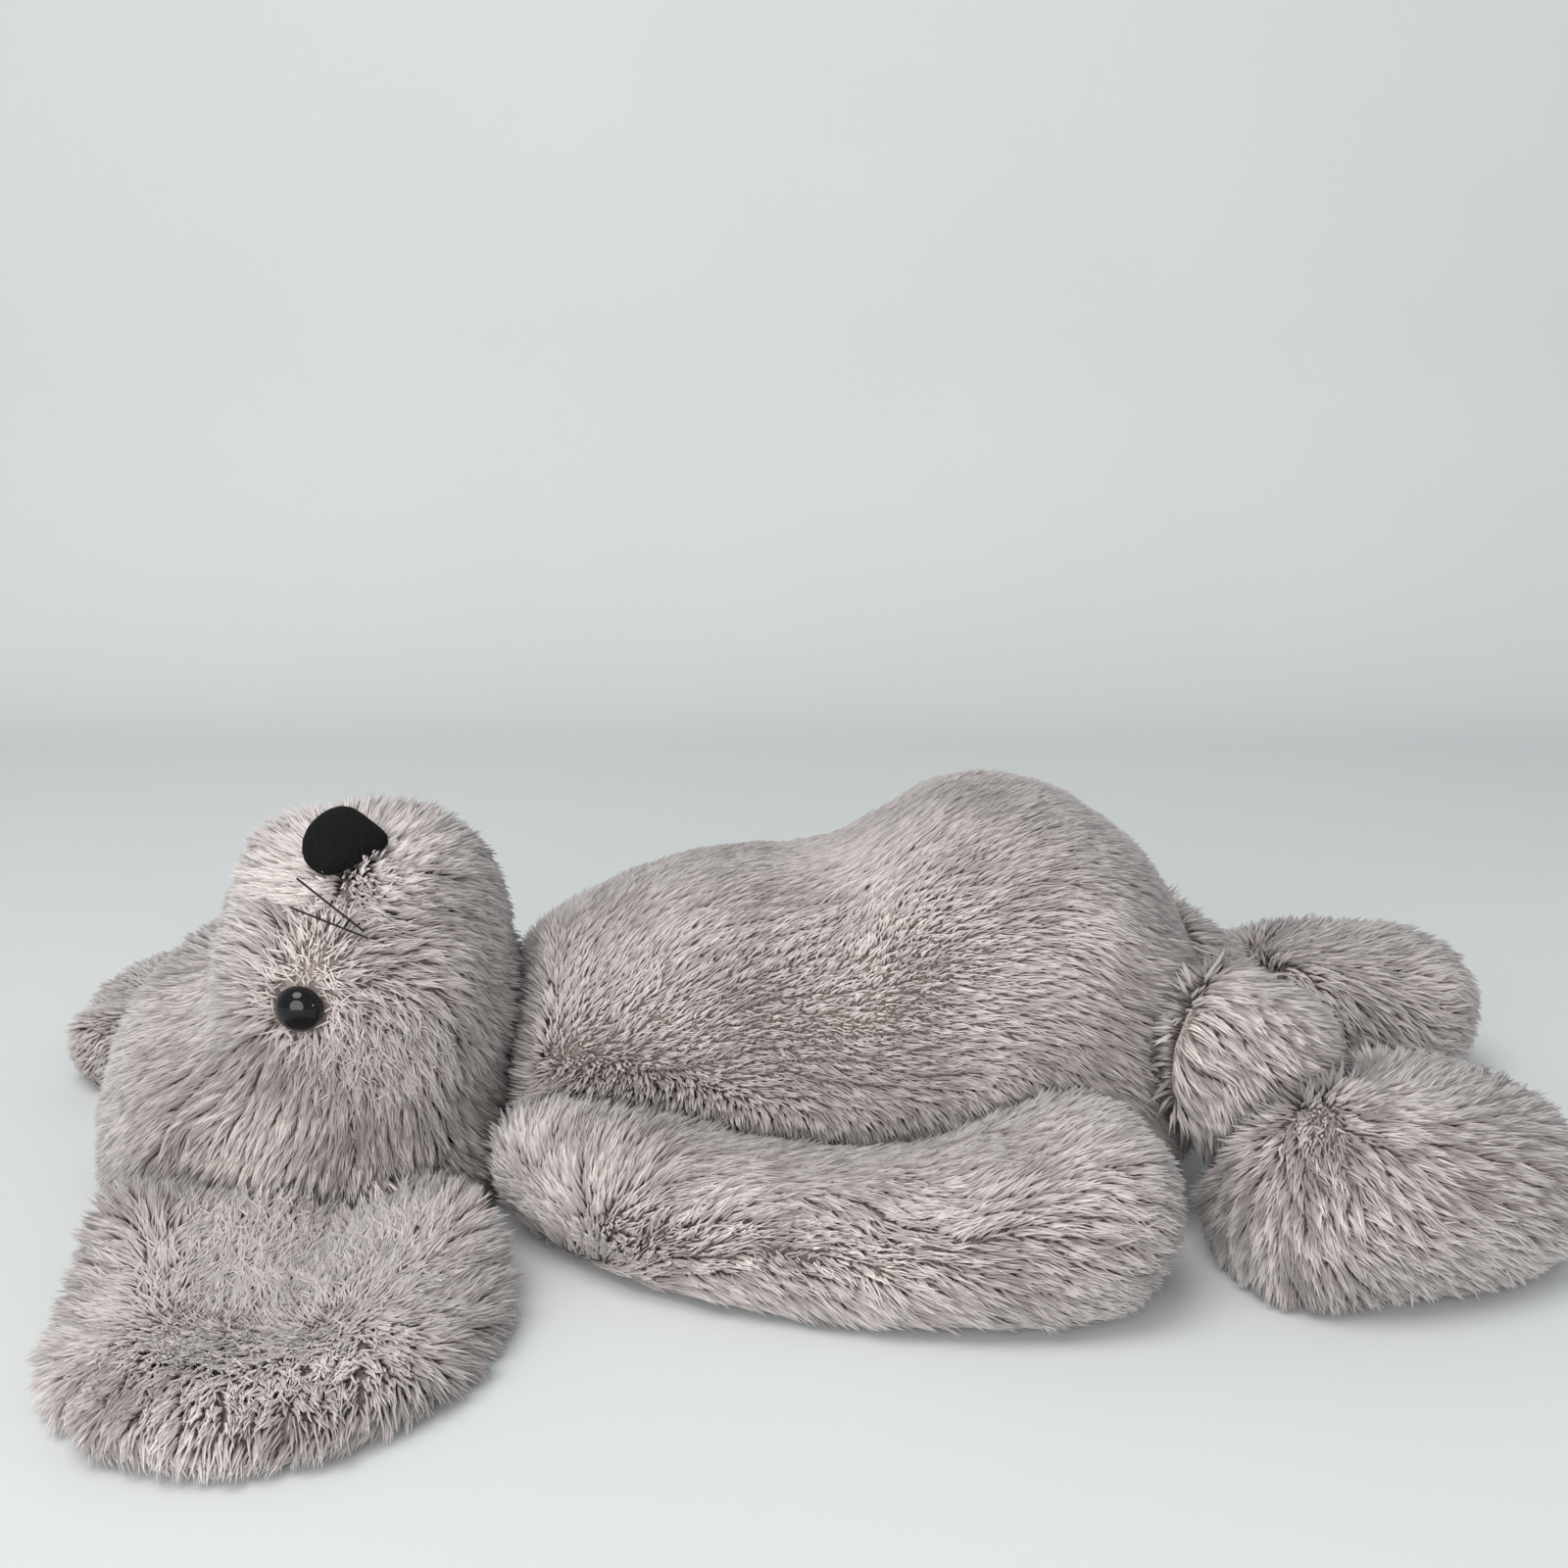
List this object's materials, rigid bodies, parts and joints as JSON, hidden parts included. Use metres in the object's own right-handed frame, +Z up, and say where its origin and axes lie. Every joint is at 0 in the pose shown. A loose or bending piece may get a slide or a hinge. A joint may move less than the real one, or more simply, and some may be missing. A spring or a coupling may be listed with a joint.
{
  "type": "plush mouse",
  "caption": "Long-pile plush mouse lying on its back, with floppy round ears, long limbs, a blunt muzzle, glossy eyes, a velour nose and thread whiskers.",
  "frame": {"origin": "middle of the flat patch under the back of the torso, on which the toy lies", "axes": "+Z up out of the belly, +X from the head towards the feet, -Y towards the toy's own right side"},
  "size_m": [0.4683, 0.3398, 0.1152],
  "materials": {
    "plush": "long straight pile, taupe grey with pale tips and darker roots",
    "eye_plastic": "polished black",
    "washer_plastic": "plain moulded, out of sight inside the head",
    "nose_velour": "short black velour",
    "whisker_thread": "stiff dark thread with a faint sheen"
  },
  "bodies": {
    "root": {"head": "plush", "torso": "plush", "right_arm": "plush", "left_arm": "plush", "right_leg": "plush", "left_leg": "plush", "right_foot": "plush", "left_foot": "plush", "right_ear": "plush", "left_ear": "plush", "nose": "nose_velour", "right_eye": "eye_plastic", "left_eye": "eye_plastic", "right_eye_washer": "washer_plastic", "left_eye_washer": "washer_plastic", "right_whisker_upper": "whisker_thread", "right_whisker_lower": "whisker_thread", "left_whisker_upper": "whisker_thread", "left_whisker_lower": "whisker_thread"}
  },
  "joints": []
}
